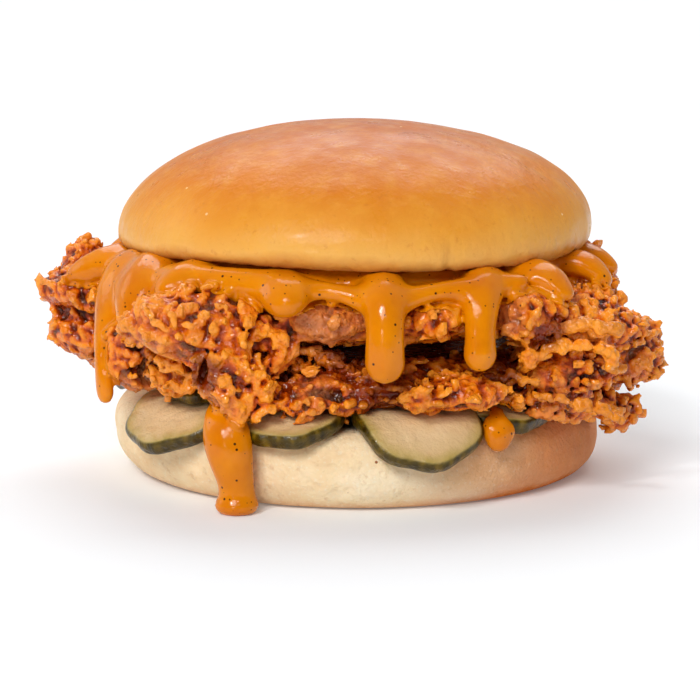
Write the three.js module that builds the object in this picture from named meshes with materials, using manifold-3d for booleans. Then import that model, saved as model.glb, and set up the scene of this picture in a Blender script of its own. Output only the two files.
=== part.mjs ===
// A chicken burger: a glazed round bun, pickle slices, two pieces of craggy fried chicken and a thick
// orange sauce that runs over them and down in drips.
// Millimetres, +Z up. The origin is the middle of the bun's flat base, and -Y faces the viewer.
import * as THREE from "three";
import { mergeVertices } from "three/addons/utils/BufferGeometryUtils.js";
import Module from "manifold-3d";

const wasm = await Module();
wasm.setup();

// The bun's two halves. The heel is the lower half and the crown the upper.
const HEEL_RADIUS = 56.3;
const HEEL_HEIGHT = 17;
const HEEL_BASE_RADIUS = 49;
const HEEL_FOOT_HEIGHT = 8;
const SHOULDER = 6;
const CROWN_RADIUS = 54.7;
const CROWN_BASE = 51.6;
const CROWN_WIDEST = 55;
const CROWN_TOP = 80.3;
const CROWN_CUT_RADIUS = 52.5;
// How far the crown's middle and the heel's base sit to the right.
const CROWN_LEAN = 3.6;
const HEEL_LEAN = 1.6;
// The proof left the crown's outline a little wavy, and its right side a little fuller.
const CROWN_WAVE = 0.006;
const CROWN_SMALL_WAVE = 0.004;
const CROWN_FULLNESS = 0.04;
// The crown's rim is lifted at the left of the front, where the lump of chicken under it is high.
const RIM_LIFT = 1.5;
const RIM_LIFT_ANGLE = -2.1;
const RIM_LIFT_SPREAD = 0.5;
const BUN_SIDES = 36;

// Pickle slices, which lie on the heel and hang over its shoulder.
const PICKLE_THICKNESS = 3.6;
const PICKLE_CLEARANCE = 0.8;
const PICKLE_EDGE = 0.8;
const PICKLE_RIB = 0.025;
const PICKLE_RIBS = 7;
const PICKLE_SIDES = 16;

// The chicken, and the size and depth of the lumps in its crust.
const LUMP_SIZE = 8;
const LUMP_DEPTH = 3;
const LUMP_LEVEL = 0.55;
// The length of the edges of the facets that the crust is made of.
const CRUST_EDGE = 4;
// The lumps start at this share of a piece's reach, and are full at the next.
const LUMPS_START = 0.8;
const LUMPS_FULL = 0.96;
// The lower it is, the squarer is the rim of a piece of chicken.
const RIM_ROUNDNESS = 0.6;

// The sauce pools between the upper chicken and the crown.
const POOL_BASE = 47.7;
const POOL_RADIUS = 49.5;
const POOL_WAVE = 0.03;
const POOL_SMALL_WAVE = 0.02;
// How far the middle of a strand of sauce stands off the crust, as a share of its radius.
const SAUCE_LIFT = 0.3;

// The free space between two pieces that lie on each other.
const GAP = 0.3;

const PALE_CRUMB = new THREE.MeshStandardMaterial({ color: 0xe6cfa6, roughness: 0.85, metalness: 0 });
const GLAZED_CRUST = new THREE.MeshStandardMaterial({ color: 0xd98c3e, roughness: 0.35, metalness: 0 });
const FRIED_CRUST = new THREE.MeshStandardMaterial({ color: 0xc4712c, roughness: 0.6, metalness: 0 });
const PICKLE_FLESH = new THREE.MeshStandardMaterial({ color: 0xb5ab62, roughness: 0.3, metalness: 0 });
const SAUCE = new THREE.MeshStandardMaterial({ color: 0xe28c17, roughness: 0.15, metalness: 0 });

// A repeatable number from 0 to 1 for a cell of space.
function hash(x, y, z, salt) {
  const mixed = Math.imul(x, 374761393) + Math.imul(y, 668265263) + Math.imul(z, 1442695041) + salt * 97477;
  const stirred = Math.imul(mixed ^ (mixed >>> 13), 1274126177);
  return ((stirred ^ (stirred >>> 16)) >>> 0) / 2 ** 32;
}

// Round lumps packed side by side: 1 on top of a lump, down to 0 in the creases between lumps.
function lumps(point, size) {
  const place = point.clone().divideScalar(size);
  const cell = place.clone().floor();
  const seed = new THREE.Vector3();
  let nearest = 1;
  for (let n = 0; n < 27; n++) {
    const x = cell.x + (n % 3) - 1;
    const y = cell.y + (Math.floor(n / 3) % 3) - 1;
    const z = cell.z + Math.floor(n / 9) - 1;
    seed.set(x + hash(x, y, z, 1), y + hash(x, y, z, 2), z + hash(x, y, z, 3));
    nearest = Math.min(nearest, place.distanceTo(seed));
  }
  return 1 - nearest ** 2;
}

// Closed surfaces and solids.

// The same surface with shared vertices, which carries nothing but positions.
function welded(geometry) {
  const plain = new THREE.BufferGeometry();
  plain.setAttribute("position", geometry.getAttribute("position"));
  plain.setIndex(geometry.getIndex());
  return mergeVertices(plain, 1e-3);
}

// Moves every vertex along its normal by height(point).
function raised(geometry, height) {
  const surface = welded(geometry);
  surface.computeVertexNormals();
  const { position, normal } = surface.attributes;
  const point = new THREE.Vector3();
  const outward = new THREE.Vector3();
  for (let i = 0; i < position.count; i++) {
    point.fromBufferAttribute(position, i);
    outward.fromBufferAttribute(normal, i);
    point.addScaledVector(outward, height(point));
    position.setXYZ(i, point.x, point.y, point.z);
  }
  surface.deleteAttribute("normal");
  return surface;
}

// Passes every vertex through change(point), which edits the point.
function reshaped(geometry, change) {
  const { position } = geometry.attributes;
  const point = new THREE.Vector3();
  for (let i = 0; i < position.count; i++) {
    change(point.fromBufferAttribute(position, i));
    position.setXYZ(i, point.x, point.y, point.z);
  }
  return geometry;
}

function solidOf(geometry) {
  const surface = welded(geometry);
  const vertProperties = new Float32Array(surface.attributes.position.array);
  const triVerts = new Uint32Array(surface.index.array);
  return new wasm.Manifold(new wasm.Mesh({ numProp: 3, vertProperties, triVerts }));
}

function geometryOf(solid) {
  const mesh = solid.getMesh();
  const geometry = new THREE.BufferGeometry();
  geometry.setAttribute("position", new THREE.BufferAttribute(mesh.vertProperties, 3));
  geometry.setIndex(new THREE.BufferAttribute(mesh.triVerts, 1));
  return geometry;
}

const joined = (solids) => solids.reduce((whole, solid) => whole.add(solid));

// The solid swollen by the gap, to cut its neighbours with.
const grown = (solid) => solidOf(raised(geometryOf(solid), () => GAP));

// The solid without what its neighbours take up, and without loose scraps.
function trimmed(solid, neighbours) {
  const left = neighbours.reduce((rest, neighbour) => rest.subtract(neighbour), solid);
  return left.decompose().reduce((best, piece) => (piece.volume() > best.volume() ? piece : best));
}

// A profile of [radius, height] pairs from the axis round to the axis, turned about the Z axis.
function turned(profile, sides) {
  const points = profile.map(([radius, height]) => new THREE.Vector2(radius, height));
  return new THREE.LatheGeometry(points, sides).rotateX(Math.PI / 2);
}

// Points on a quarter of an ellipse, from angle 0 at its side to a right angle at its top.
function quarter(middleRadius, middleHeight, width, height, steps) {
  return Array.from({ length: steps + 1 }, (_, i) => {
    const angle = (i / steps) * (Math.PI / 2);
    return [middleRadius + width * Math.cos(angle), middleHeight + height * Math.sin(angle)];
  });
}

// The bun.

function heel() {
  const footWidth = HEEL_RADIUS - HEEL_BASE_RADIUS;
  const foot = quarter(HEEL_BASE_RADIUS, HEEL_FOOT_HEIGHT, footWidth, -HEEL_FOOT_HEIGHT, 4).reverse();
  const wall = quarter(HEEL_RADIUS - SHOULDER, HEEL_HEIGHT - SHOULDER, SHOULDER, SHOULDER, 4);
  const whole = turned([[0, 0], ...foot, ...wall, [0, HEEL_HEIGHT]], BUN_SIDES);
  return solidOf(reshaped(whole, (point) => (point.x += HEEL_LEAN * (1 - point.z / HEEL_HEIGHT))));
}

function crown() {
  const lipWidth = CROWN_RADIUS - CROWN_CUT_RADIUS;
  const lip = quarter(CROWN_CUT_RADIUS, CROWN_WIDEST, lipWidth, CROWN_BASE - CROWN_WIDEST, 3);
  const dome = quarter(0, CROWN_WIDEST, CROWN_RADIUS, CROWN_TOP - CROWN_WIDEST, 8);
  dome[dome.length - 1] = [0, CROWN_TOP];
  const whole = turned([[0, CROWN_BASE], ...lip.reverse(), ...dome.slice(1)], BUN_SIDES);
  reshaped(whole, (point) => {
    const angle = Math.atan2(point.y, point.x);
    const height = (point.z - CROWN_BASE) / (CROWN_TOP - CROWN_BASE);
    const wave = CROWN_WAVE * Math.sin(3 * angle - 0.5) + CROWN_SMALL_WAVE * Math.sin(5 * angle);
    const fuller = CROWN_FULLNESS * height * Math.max(0, Math.cos(angle));
    const beside = (angle - RIM_LIFT_ANGLE) / RIM_LIFT_SPREAD;
    const lift = RIM_LIFT * Math.exp(-(beside ** 2)) * Math.max(0, 1 - 3 * height);
    point.x *= 1 + wave + fuller;
    point.x += CROWN_LEAN * height * (1 - height);
    point.y *= 1 + wave;
    point.z += (lift * Math.hypot(point.x, point.y)) / CROWN_RADIUS;
  });
  return solidOf(whole);
}

// Pickles.

// Lays a slice over the heel's round shoulder, down to the angle mostBend.
function drape(point, mostBend) {
  const fromAxis = Math.hypot(point.x, point.y);
  const past = fromAxis - (HEEL_RADIUS - SHOULDER);
  if (past <= 0) return;
  const bend = Math.min(past / SHOULDER, mostBend);
  const straight = past - bend * SHOULDER;
  const lift = point.z - HEEL_HEIGHT + SHOULDER;
  const reach = HEEL_RADIUS - SHOULDER + lift * Math.sin(bend) + straight * Math.cos(bend);
  point.x *= reach / fromAxis;
  point.y *= reach / fromAxis;
  point.z = HEEL_HEIGHT - SHOULDER + lift * Math.cos(bend) - straight * Math.sin(bend);
}

// A slice whose middle is reach from the axis, towards angle, on the given layer.
function pickle({ radius, reach, angle, bend, layer = 0 }) {
  const under = HEEL_HEIGHT + PICKLE_CLEARANCE + layer * (PICKLE_THICKNESS + GAP);
  const over = under + PICKLE_THICKNESS;
  const rim = radius - PICKLE_EDGE;
  const inner = radius * 0.55;
  const profile = [[0, under], [inner, under], [rim, under], [radius, over - PICKLE_EDGE], [rim, over]];
  profile.push([inner, over], [0, over]);
  const slice = turned(profile, PICKLE_SIDES);
  // The skin of a cucumber has shallow ribs.
  reshaped(slice, (point) => {
    const rib = 1 + PICKLE_RIB * Math.cos(PICKLE_RIBS * Math.atan2(point.y, point.x) + reach);
    point.x *= rib;
    point.y *= rib;
  });
  slice.translate(reach, 0, 0).rotateZ(THREE.MathUtils.degToRad(angle));
  return solidOf(reshaped(slice, (point) => drape(point, bend)));
}

// The nearest slice comes first, because each is tucked under those before it.
const PICKLES = [
  { name: "pickle_front_right", radius: 13.8, reach: 49.5, angle: -74, bend: 0.85 },
  { name: "pickle_front_left", radius: 14, reach: 49.6, angle: -136, bend: 0.7 },
  { name: "pickle_front_middle", radius: 12, reach: 47.5, angle: -106, bend: 0.5 },
  { name: "pickle_right", radius: 13.5, reach: 45, angle: -49, bend: 0.4 },
  { name: "pickle_upper_left", radius: 12, reach: 41, angle: -134, bend: 0.7, layer: 1 },
  { name: "pickle_back_left", radius: 13, reach: 46, angle: 160, bend: 0.8 },
  { name: "pickle_back", radius: 13.5, reach: 46.5, angle: 104, bend: 0.6 },
  { name: "pickle_back_right", radius: 12.5, reach: 46, angle: 48, bend: 0.9 },
];

// Fried chicken.

const crust = (point) => LUMP_DEPTH * (lumps(point, LUMP_SIZE) - LUMP_LEVEL);

// One knob or fold of the crust: an ellipsoid at a place, turned about Y and then Z, in degrees.
function knob({ at, radii, turn = [0, 0] }) {
  const size = Math.cbrt(radii[0] * radii[1] * radii[2]);
  const ball = new THREE.IcosahedronGeometry(1, Math.round(size / CRUST_EDGE) - 1).scale(...radii);
  ball.rotateY(THREE.MathUtils.degToRad(turn[0])).rotateZ(THREE.MathUtils.degToRad(turn[1]));
  return solidOf(raised(ball.translate(...at), crust));
}

// The body of a piece of chicken: a thick flat slab with a round rim, whose relief grows towards the rim.
function slab({ at, radii, sides, rows }) {
  const profile = Array.from({ length: rows + 1 }, (_, i) => {
    const angle = (i / rows - 0.5) * Math.PI;
    const out = Math.max(Math.cos(angle), 0) ** RIM_ROUNDNESS;
    const up = Math.abs(Math.sin(angle)) ** RIM_ROUNDNESS * Math.sign(angle);
    return [i === 0 || i === rows ? 0 : out, up];
  });
  const body = turned(profile, sides).scale(...radii).translate(...at);
  return solidOf(
    raised(body, (point) => {
      const outward = Math.hypot((point.x - at[0]) / radii[0], (point.y - at[1]) / radii[1]);
      return crust(point) * THREE.MathUtils.smoothstep(outward, LUMPS_START, LUMPS_FULL);
    }),
  );
}

// Knobs spread along the far side of a piece, each of its own size.
function farKnobs({ from, to, count, reach, height, size }) {
  return Array.from({ length: count }, (_, i) => {
    const angle = THREE.MathUtils.degToRad(THREE.MathUtils.lerp(from, to, i / (count - 1)));
    const chance = [1, 2, 3].map((salt) => hash(i, count, Math.round(height), salt));
    const out = reach * (0.95 + 0.1 * chance[0]);
    const at = [out * 1.08 * Math.cos(angle), out * Math.sin(angle), height + 6 * (chance[1] - 0.5)];
    const wide = size * (0.7 + 0.6 * chance[2]);
    return { at, radii: [wide, wide, 3 + wide * 0.35], turn: [30 * (chance[0] - 0.5), 90 * chance[1]] };
  });
}

const UPPER_SLAB = { at: [1, 0, 40], radii: [57, 49, 7.4], sides: 34, rows: 7 };
const UPPER_FAR_KNOBS = { from: 22, to: 158, count: 7, reach: 49, height: 39, size: 12 };
const UPPER_KNOBS = [
  // The wing that reaches out to the left: its ledge, the knob on it, and the wall under it.
  { at: [-59.5, 0, 40.8], radii: [14, 13, 5.5] },
  { at: [-63, 9, 45.2], radii: [6.5, 7, 5] },
  { at: [-60.5, 2, 30.5], radii: [10.5, 13, 7.5], turn: [24, 0] },
  // The lump that hangs at the left of the front.
  { at: [-47, -31.5, 31.5], radii: [8, 9.5, 10] },
  // The large leaf folded down over the front, to its tip.
  { at: [-33, -48, 40.3], radii: [16, 10, 8] },
  { at: [-26.5, -53.5, 30], radii: [8, 6, 12], turn: [-32, 0] },
  { at: [-15.5, -50, 34.5], radii: [4.5, 6, 6.5] },
  // Crust between and beside the drips.
  { at: [-5, -47, 41.5], radii: [11, 9, 5.5] },
  { at: [17, -47, 42], radii: [9, 9, 5.5], turn: [-12, 0] },
  { at: [38, -42, 41], radii: [8.5, 9, 7] },
  // The crest that runs out to the right, the cluster at its end, and the folds under and behind it.
  { at: [52.5, -26, 37], radii: [13, 12, 6.5], turn: [14, 20] },
  { at: [60.5, -12, 28.2], radii: [10.5, 14, 8.5] },
  { at: [53, 6, 42], radii: [9.5, 17, 7] },
];

const LOWER_SLAB = { at: [6, 0, 26.6], radii: [50, 49, 5.5], sides: 32, rows: 6 };
const LOWER_FAR_KNOBS = { from: 10, to: 165, count: 6, reach: 49, height: 25.5, size: 10 };
const LOWER_KNOBS = [
  { at: [-6, -49, 24.5], radii: [14, 9, 5] },
  { at: [18, -49, 25.2], radii: [17, 9, 3.6] },
  { at: [-37, -38, 28], radii: [9, 8, 5] },
  { at: [46, -36, 28], radii: [12, 11, 6], turn: [0, 20] },
  // The thin sheet that droops at the right, and the knob at its end.
  { at: [42, -36, 21], radii: [14, 10, 3.5], turn: [8, 25] },
  { at: [54, -28, 19.5], radii: [9, 8, 3.5], turn: [20, 30] },
  { at: [60.5, -20, 15], radii: [4.8, 7, 4.6] },
];

function chicken(slabShape, knobs, farKnobShape) {
  return joined([slab(slabShape), ...[...knobs, ...farKnobs(farKnobShape)].map(knob)]);
}

// Sauce.

// Moves a point that lies in the crust outwards and up, until it is clear of it by the height.
function settled(point, crustMesh, height) {
  const away = new THREE.Vector3(point.x, point.y, 0).normalize().setZ(1).normalize();
  const from = point.clone().addScaledVector(away, 60);
  const [hit] = new THREE.Raycaster(from, away.clone().negate(), 0, 60).intersectObject(crustMesh);
  return hit ? hit.point.addScaledVector(away, height) : point;
}

// A closed strand along the points, half as wide at each of them as its number in radii. It is flatter
// across the direction that points out of the burger and up, as if it lay on the chicken.
function strand({ points, radii, sides = 6, rings = 5, flatness = 0.75 }, crustMesh) {
  const middles = points.map((point) => new THREE.Vector3(...point));
  const path = new THREE.CatmullRomCurve3(
    crustMesh ? middles.map((point, i) => settled(point, crustMesh, radii[i] * SAUCE_LIFT)) : middles,
  );
  const widths = new THREE.CatmullRomCurve3(radii.map((radius, i) => new THREE.Vector3(i, radius, 0)));
  const profile = [[0, -0.9], [0.7, -0.6]];
  for (let i = 0; i <= rings; i++) profile.push([1, i / rings]);
  profile.push([0.7, 1.6], [0, 1.9]);
  const away = new THREE.Vector3();
  const across = new THREE.Vector3();
  const outward = new THREE.Vector3();
  return solidOf(
    reshaped(welded(turned(profile, sides)), (point) => {
      const { x, y, z } = point;
      const along = THREE.MathUtils.clamp(z, 0, 1);
      const beyond = z - along;
      const thick = widths.getPoint(along).y;
      const tangent = path.getTangent(along);
      path.getPoint(along, point);
      away.set(point.x, point.y, 0).normalize().setZ(1);
      across.crossVectors(tangent, away).normalize();
      outward.crossVectors(tangent, across);
      point.addScaledVector(across, x * thick).addScaledVector(outward, y * thick * flatness);
      point.addScaledVector(tangent, beyond * thick);
    }),
  );
}

const FRONT_STRANDS = [
  // The web at the left: out along the wing, down over the hanging lump, and between the two.
  { points: [[-44, -8, 50], [-55, -9, 48.5], [-62, -9, 46], [-64, -8, 45]], radii: [4, 4.5, 3.6, 2.6] },
  {
    points: [[-43, -18, 50], [-51, -22, 47], [-54.5, -28, 39], [-55.5, -32, 30], [-55, -33, 22]],
    radii: [9, 8, 4, 2.6, 2.8],
    rings: 8,
    flatness: 0.5,
  },
  {
    points: [[-42, -24, 50], [-46, -33, 47], [-48.5, -38, 42], [-49, -40, 38]],
    radii: [7, 7, 4, 2.5],
    flatness: 0.6,
  },
  { points: [[-30, -36, 50], [-36, -43, 49], [-40, -46, 47]], radii: [4, 4.5, 3.5] },
  // The band under the crown's rim and the broad lobe at its end.
  { points: [[-40, -40, 49], [-28, -48, 49.5], [-17, -52, 49]], radii: [3, 3, 3] },
  { points: [[-16, -50, 49], [-14.5, -55, 47.5], [-14, -57, 46.6]], radii: [4, 5.2, 4.8], flatness: 0.65 },
  // The arc to the long drip, the drip itself, and the arc on to the next.
  { points: [[-12, -54, 48.5], [-4, -55, 48.2], [5, -57, 45.5]], radii: [2, 1.8, 2.4] },
  {
    points: [[6, -48, 50], [6.7, -56, 47.5], [6.7, -60, 43.5], [6.7, -61, 38], [6.7, -61, 33.4]],
    radii: [3.5, 4.2, 3.8, 3.8, 4.3],
    rings: 8,
    flatness: 0.8,
  },
  { points: [[9, -57, 46], [17, -54, 48], [25, -51, 48.2]], radii: [2.4, 1.9, 2.4] },
  {
    points: [[28, -42, 50], [28, -48.5, 48], [27.2, -53.5, 43.5], [27, -55, 38], [27, -55.5, 34.4]],
    radii: [4, 4, 3.4, 3, 3.7],
    rings: 8,
    flatness: 0.8,
  },
  // The right side.
  { points: [[29, -47, 48.5], [36, -46, 48.8]], radii: [2.2, 2] },
  { points: [[36, -34, 50], [42, -40, 49], [44.5, -43, 45.5]], radii: [5, 4.8, 3.2], flatness: 0.6 },
  { points: [[46, -18, 50], [53, -21, 49], [56, -22, 46.5]], radii: [4.5, 4, 3], flatness: 0.6 },
  { points: [[48, -2, 49.5], [56, -4, 48.5], [58.5, -5, 46]], radii: [4, 3.4, 2.6] },
];

const FAR_STRANDS = { from: 28, to: 158, count: 5 };

// Drips spread round the far side, each of its own length.
function farStrands({ from, to, count }) {
  return Array.from({ length: count }, (_, i) => {
    const angle = THREE.MathUtils.degToRad(THREE.MathUtils.lerp(from, to, i / (count - 1)));
    const fall = 6 + 12 * hash(i, count, 5, 1);
    const thick = 3 + 1.6 * hash(i, count, 5, 2);
    const at = (reach, height) => [1.1 * reach * Math.cos(angle), reach * Math.sin(angle), height];
    const points = [at(40, 50), at(52, 49), at(58, 44), at(59, 44 - fall)];
    return { points, radii: [thick, thick, thick * 0.8, thick] };
  });
}

function pool() {
  const under = [[0, POOL_BASE], [POOL_RADIUS - 3.5, POOL_BASE], [POOL_RADIUS, POOL_BASE + 0.8]];
  const profile = [...under, [POOL_RADIUS - 1.5, CROWN_BASE], [0, CROWN_BASE]];
  const layer = reshaped(turned(profile, BUN_SIDES), (point) => {
    const angle = Math.atan2(point.y, point.x);
    const edge = 1 + POOL_WAVE * Math.sin(4 * angle + 2) + POOL_SMALL_WAVE * Math.sin(9 * angle);
    point.x *= edge;
    point.y *= edge;
  });
  return solidOf(layer);
}

function topSauce(crustMesh) {
  const strands = [...FRONT_STRANDS, ...farStrands(FAR_STRANDS)];
  return joined([pool(), ...strands.map((shape) => strand(shape, crustMesh))]);
}

// The drip that runs from under the chicken over the heel to the table, and the short one at the right.
const LONG_HEEL_DRIP = {
  points: [[-27.4, -50, 21.5], [-27, -54.5, 17], [-26, -55.5, 11.5], [-25, -54, 6], [-24.8, -53.6, 3.6]],
  radii: [4.4, 5, 4.4, 3.4, 3.6],
  sides: 8,
  rings: 8,
};
const DRIP_FOOT = { at: [-25, -54.4, 1.7], radii: [4.8, 4.4, 1.6] };
const SHORT_HEEL_DRIP = {
  points: [[31.5, -44, 19.5], [31.5, -49, 17], [31.3, -50, 15]],
  radii: [3.5, 4, 3],
  flatness: 0.6,
};

// The long drip spreads into a low round foot on the table.
function longHeelDrip() {
  const foot = new THREE.SphereGeometry(1, 12, 6).rotateX(Math.PI / 2);
  foot.scale(...DRIP_FOOT.radii).translate(...DRIP_FOOT.at);
  return strand(LONG_HEEL_DRIP).add(solidOf(foot));
}

// The whole burger. Each piece gives way to those added before it, by the gap.
const burger = new THREE.Group();
const taken = [];

function add(name, shape, material) {
  const mesh = new THREE.Mesh(geometryOf(trimmed(shape, taken)), material);
  mesh.name = name;
  burger.add(mesh);
  taken.push(grown(shape));
}

const upper = chicken(UPPER_SLAB, UPPER_KNOBS, UPPER_FAR_KNOBS);
const lower = chicken(LOWER_SLAB, LOWER_KNOBS, LOWER_FAR_KNOBS);
const crustMesh = new THREE.Mesh(geometryOf(upper.add(lower)));

add("bun_heel", heel(), PALE_CRUMB);
add("bun_crown", crown(), GLAZED_CRUST);
for (const slice of PICKLES) add(slice.name, pickle(slice), PICKLE_FLESH);
add("chicken_upper", upper, FRIED_CRUST);
add("chicken_lower", lower, FRIED_CRUST);
add("sauce_over_chicken", topSauce(crustMesh), SAUCE);
add("sauce_drip_left", longHeelDrip(), SAUCE);
add("sauce_drip_right", strand(SHORT_HEEL_DRIP), SAUCE);

export default burger;
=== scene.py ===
# The looks of the chicken burger: a glazed bun, pickle slices, craggy fried chicken and thick sauce.
# Lengths are in metres. +Z is up, and -Y faces the viewer of the photograph.
import itertools
import math

import bpy
import numpy as np
import openvdb
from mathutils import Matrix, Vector


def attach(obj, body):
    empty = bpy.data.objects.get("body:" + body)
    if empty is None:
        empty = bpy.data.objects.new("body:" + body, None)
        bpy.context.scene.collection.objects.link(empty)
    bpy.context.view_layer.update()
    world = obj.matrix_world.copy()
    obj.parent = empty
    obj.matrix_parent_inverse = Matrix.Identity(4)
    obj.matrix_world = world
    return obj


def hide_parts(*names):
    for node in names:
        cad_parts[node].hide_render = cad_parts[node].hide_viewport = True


MM = 0.001

# The bun, as in the CAD source.
HEEL_RADIUS = 56.3 * MM
HEEL_HEIGHT = 17 * MM
HEEL_BASE_RADIUS = 49 * MM
HEEL_FOOT_HEIGHT = 8 * MM
SHOULDER = 6 * MM
CROWN_RADIUS = 54.7 * MM
CROWN_BASE = 51.6 * MM
CROWN_WIDEST = 55 * MM
CROWN_TOP = 80.3 * MM
CROWN_CUT_RADIUS = 52.5 * MM
CROWN_LEAN = 3.6 * MM
HEEL_LEAN = 1.6 * MM
RIM_LIFT = 1.5 * MM
BUN_SIDES = 360

# The baked skin of the crown: how deep its dents, its wrinkles and its one crease are.
DENT = 0.35 * MM
SMALL_DENT = 0.1 * MM
WRINKLE = 0.22 * MM
CREASE_PLACE = 20.3 * MM
CREASE_WIDTH = 0.7 * MM
CREASE_DEPTH = 0.45 * MM
CREASE_LIP = 0.25 * MM

# The pickle slices, as in the CAD source.
PICKLE_THICKNESS = 3.6 * MM
PICKLE_CLEARANCE = 0.8 * MM
GAP = 0.3 * MM

# How much longer than wide the ring is in which the crust shows.
CHICKEN_STRETCH = 1.06
# The relief of the crust: folds, lumps and grains, with how far apart they are and how high.
FOLD_SIZE = 7 * MM
FOLD_HEIGHT = 0.9 * MM
LUMP_SIZE = 3.1 * MM
LUMP_HEIGHT = 1.9 * MM
GRAIN_SIZE = 1.6 * MM
GRAIN_HEIGHT = 0.9 * MM

# The sauce: how far its strands are rounded, how wide a gap it fills, and the skirt round it.
STRAND_ROUNDING = 0.8 * MM
FILM_REACH = 2.8 * MM
SKIRT_THICKNESS = 0.45 * MM
SKIRT_WIDTH = 1.2 * MM

# The grids on which the chicken, the sauce and the pickles are shaped.
CHICKEN_LOW = np.array([-79, -70, -1]) * MM
CHICKEN_HIGH = np.array([76, 68, 56]) * MM
CRUST_VOXEL = 0.55 * MM
PICKLE_VOXEL = 0.4 * MM
BAND = 5 * MM
# The most triangles that a piece may keep.
CRUST_TRIANGLES = 190000
SAUCE_TRIANGLES = 90000
PICKLE_TRIANGLES = 12000

# The photograph's view: a long lens, a little above the table.
VIEW_ELEVATION = math.radians(9.5)
VIEW_DISTANCE = 0.6
VIEW_HEIGHT = 29.5 * MM
VIEW_LENS = 131.76
VIEW_SHIFT = (-3 / 700, -14 / 700)
# In metres, so that no view shows an edge of the table.
TABLE_WIDTH = 30


# Noise.

NOISE_CELLS = 32


def noise(points, size, seed):
    """Smooth noise from -1 to 1 at each point, whose bumps are about the size across."""
    table = np.random.default_rng(seed).uniform(-1, 1, NOISE_CELLS**3).astype(np.float32)
    place = np.asarray(points, np.float32).T / np.reshape(np.asarray(size, np.float32), (-1, 1))
    cell = np.floor(place).astype(np.int32)
    part = place - cell
    part = part * part * (3 - 2 * part)
    cells = (cell % NOISE_CELLS, (cell + 1) % NOISE_CELLS)
    parts = (1 - part, part)
    total = np.zeros(len(points), np.float32)
    for x, y, z in itertools.product((0, 1), repeat=3):
        index = (cells[x][0] * NOISE_CELLS + cells[y][1]) * NOISE_CELLS + cells[z][2]
        total += parts[x][0] * parts[y][1] * parts[z][2] * table[index]
    return total


def drift(points, size, seed):
    """A smooth random vector at each point."""
    return np.stack([noise(points, size, seed + i) for i in range(3)], axis=1)


def packed(points, size, seed):
    """Round lumps packed side by side: 1 at the middle of each, down to about 0 in the creases."""
    shifts = np.random.default_rng(seed).uniform(-0.35, 0.35, (NOISE_CELLS**3, 3))
    table = 0.5 + shifts.astype(np.float32)
    place = np.asarray(points, np.float32) / np.float32(size)
    cell = np.floor(place - 0.5).astype(np.int32)
    nearest = np.full(len(points), 9, np.float32)
    for step in itertools.product((0, 1), repeat=3):
        x, y, z = ((cell + step) % NOISE_CELLS).T
        away = cell + step + table[(x * NOISE_CELLS + y) * NOISE_CELLS + z] - place
        nearest = np.minimum(nearest, (away * away).sum(axis=1, dtype=np.float32))
    return 1 - 1.6 * nearest


def smoothstep(low, high, value):
    """A smooth step from 0 at the low value to 1 at the high one."""
    share = np.clip((value - low) / (high - low), 0, 1)
    return share * share * (3 - 2 * share)


def unit(vectors):
    """The vectors at length 1."""
    return vectors / np.maximum(np.linalg.norm(vectors, axis=-1, keepdims=True), 1e-12)


# Volumes.


def blurred(values, sigma):
    """The values averaged over their neighbours, sigma voxels to each side."""
    reach = math.ceil(2.5 * sigma)
    steps = range(-reach, reach + 1)
    weights = [math.exp(-0.5 * (step / sigma) ** 2) for step in steps]
    for axis in range(3):
        widths = [(reach, reach) if a == axis else (0, 0) for a in range(3)]
        padded = np.moveaxis(np.pad(values, widths, mode="edge"), axis, 0)
        count = values.shape[axis]
        total = np.zeros(padded[:count].shape, np.float32)
        for i, weight in enumerate(weights):
            total += padded[i : i + count] * np.float32(weight / sum(weights))
        values = np.ascontiguousarray(np.moveaxis(total, 0, axis), dtype=np.float32)
    return values


def melted(a, b, width):
    """The nearer of two distances, with the corner between the two shapes rounded over the width."""
    share = np.clip(0.5 + 0.5 * (b - a) / width, 0, 1)
    return b + (a - b) * share - width * share * (1 - share)


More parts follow.
